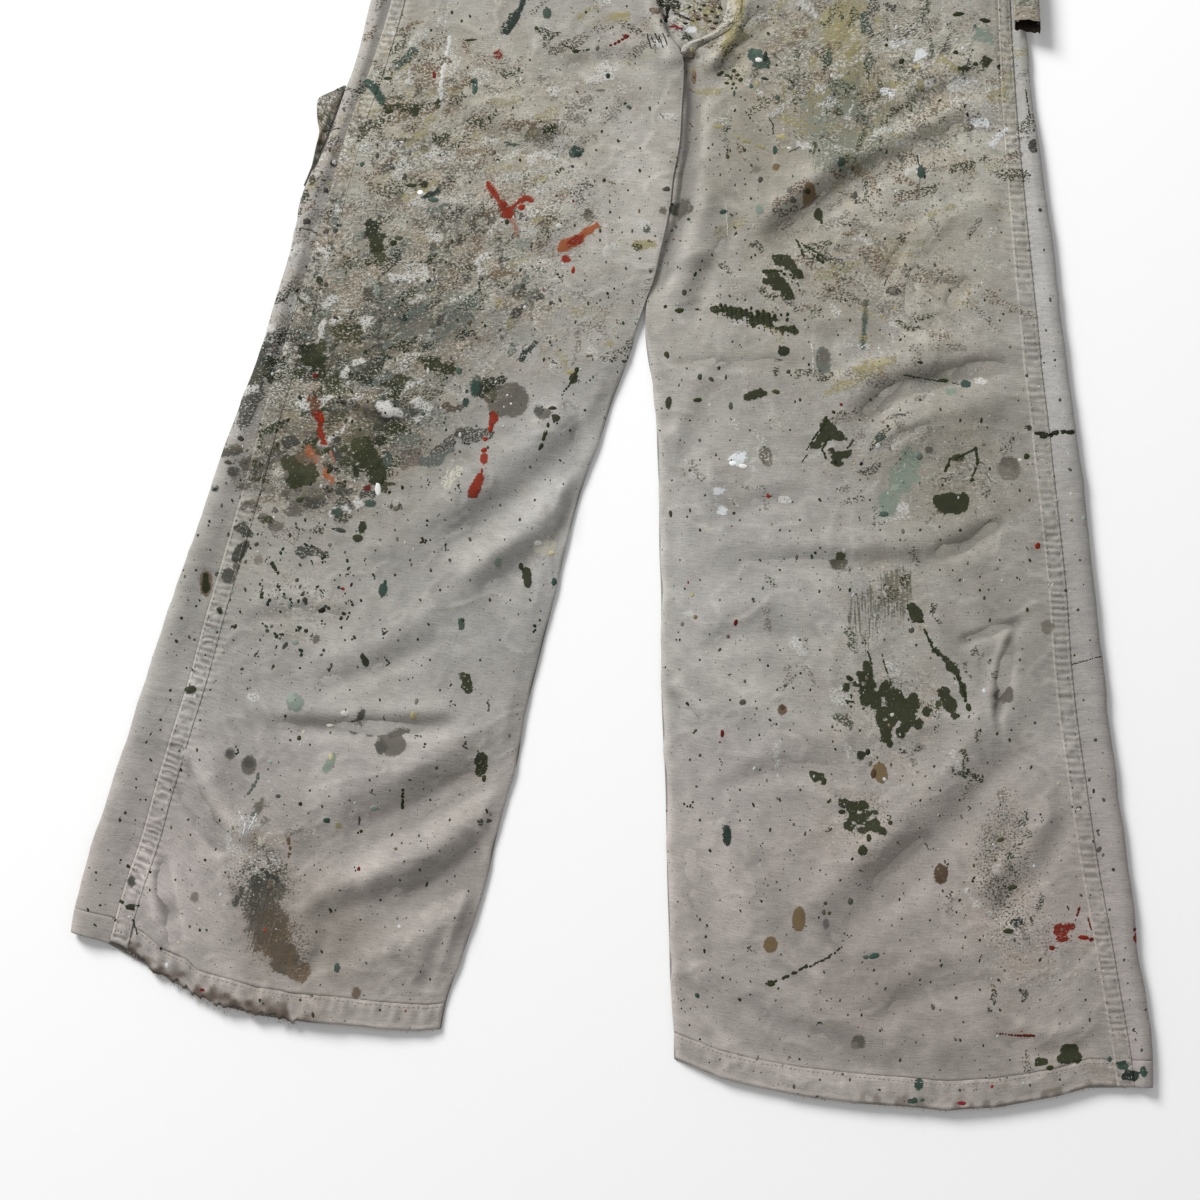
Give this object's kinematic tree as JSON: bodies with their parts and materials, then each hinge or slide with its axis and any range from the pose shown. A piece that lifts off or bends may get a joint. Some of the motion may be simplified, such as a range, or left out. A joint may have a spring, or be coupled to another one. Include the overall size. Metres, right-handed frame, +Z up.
{
  "type": "paint spattered overalls",
  "caption": "Work overalls with a bib, shoulder straps, an open fly, flared legs and a tool loop, spattered with paint and worn at the hems, laid flat on their back.",
  "frame": {"origin": "centre of the bounding box in plan, on the surface the garment lies on", "axes": "+X to the wearer's left, +Y from the hems towards the straps, +Z up out of the cloth"},
  "size_m": [0.78, 1.4504, 0.0159],
  "materials": {
    "canvas": "matte worn cotton canvas, pale grey-beige, with paint stains",
    "painted_canvas": "matte canvas soaked with dark paint",
    "strap_canvas": "matte folded canvas, edge-stitched",
    "hardware": "dull tarnished zinc-plated steel"
  },
  "bodies": {
    "root": {"front_leg_r": "canvas", "front_leg_l": "canvas", "back_leg_r": "canvas", "back_leg_l": "canvas", "hem_front_r": "canvas", "hem_front_l": "canvas", "hem_back_r": "canvas", "hem_back_l": "canvas", "side_fell_r": "canvas", "side_fell_l": "canvas", "fly_under": "painted_canvas", "fly_facing": "canvas", "waistband": "canvas", "bib": "canvas", "bib_hem": "canvas", "back_bib": "canvas", "strap_r": "strap_canvas", "strap_l": "strap_canvas", "buckle_r": "hardware", "buckle_l": "hardware", "bib_button_r": "hardware", "bib_button_l": "hardware", "side_button_r": "hardware", "side_button_l": "hardware", "rule_pocket_r": "painted_canvas", "hammer_loop_l": "painted_canvas"}
  },
  "joints": []
}
